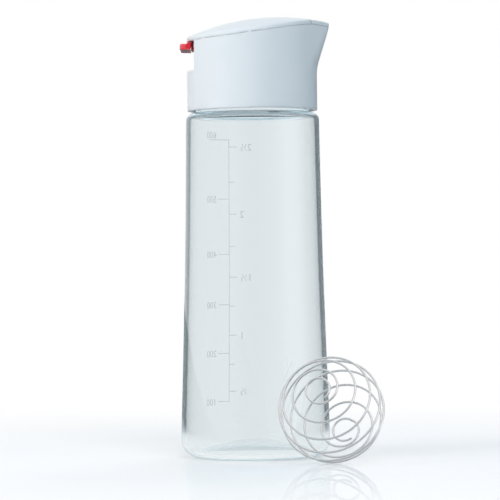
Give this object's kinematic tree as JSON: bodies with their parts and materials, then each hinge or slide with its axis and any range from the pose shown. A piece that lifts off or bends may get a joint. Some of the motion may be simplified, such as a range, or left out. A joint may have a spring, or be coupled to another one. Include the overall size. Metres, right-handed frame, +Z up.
{
  "type": "salad dressing shaker bottle",
  "caption": "Clear dressing shaker bottle with a white screw lid, a hinged spout flap opened by a red thumb lever, and a loose wire whisk ball.",
  "frame": {"origin": "centre of the bottle's base ring, on the ground", "axes": "+X towards the spout, +Z up along the bottle's axis, +Y to the left of someone who looks from the lever to the spout"},
  "size_m": [0.1032, 0.1195, 0.2278],
  "materials": {
    "clear_plastic": "clear, smooth and slightly cool",
    "white_plastic": "smooth satin gloss",
    "red_plastic": "smooth gloss",
    "grey_plastic": "fine matte",
    "soft_white": "soft matte, slightly translucent",
    "steel": "drawn wire",
    "polished_steel": "polished stainless wire"
  },
  "bodies": {
    "bottle": {"bottle": "clear_plastic"},
    "seal_ring": {"lid_seal_ring": "soft_white"},
    "lid": {"lid_housing": "white_plastic", "lid_crown": "white_plastic", "lid_core": "white_plastic", "pour_duct": "white_plastic", "vent_valve": "soft_white", "lever_pin": "steel", "flap_pin": "steel", "lever_spring": "steel"},
    "lever": {"thumb_lever": "red_plastic"},
    "fork": {"push_fork": "grey_plastic"},
    "flap": {"spout_flap": "white_plastic", "flap_pad": "soft_white"},
    "ball": {"whisk_ball": "polished_steel"}
  },
  "joints": [
    {"name": "lid_rise", "type": "slide", "parent": "bottle", "child": "seal_ring", "axis": [0, 0, 1], "range_m": [0, 0.00751]},
    {"name": "lid_turn", "type": "hinge", "parent": "seal_ring", "child": "lid", "pos_m": [0, 0, 0.1926], "axis": [0, 0, 1], "range_deg": [0, 540]},
    {"name": "lever_press", "type": "hinge", "parent": "lid", "child": "lever", "pos_m": [-0.015, 0, 0.2145], "axis": [0, -1, 0], "range_deg": [0, 15.39], "stiffness_Nm_per_rad": 0.3, "springref_deg": -8.59, "deforming": ["lever_spring"]},
    {"name": "fork_push", "type": "slide", "parent": "lid", "child": "fork", "axis": [1, 0, 0], "range_m": [0, 0.00322]},
    {"name": "flap_open", "type": "hinge", "parent": "lid", "child": "flap", "pos_m": [0.0278, 0, 0.22381], "axis": [0, -1, 0], "range_deg": [0, 45.1]},
    {"name": "ball_lift", "type": "slide", "parent": "bottle", "child": "ball", "axis": [0, 0, 1], "range_m": [0, 0.1]}
  ],
  "couplings": [
    {"joint": "lid_rise", "follows": "lid_turn", "m_per_rad": 0.00079577},
    {"joint": "fork_push", "follows": "lever_press", "m_per_rad": 0.011964},
    {"joint": "flap_open", "follows": "lever_press", "ratio": 2.9231}
  ]
}
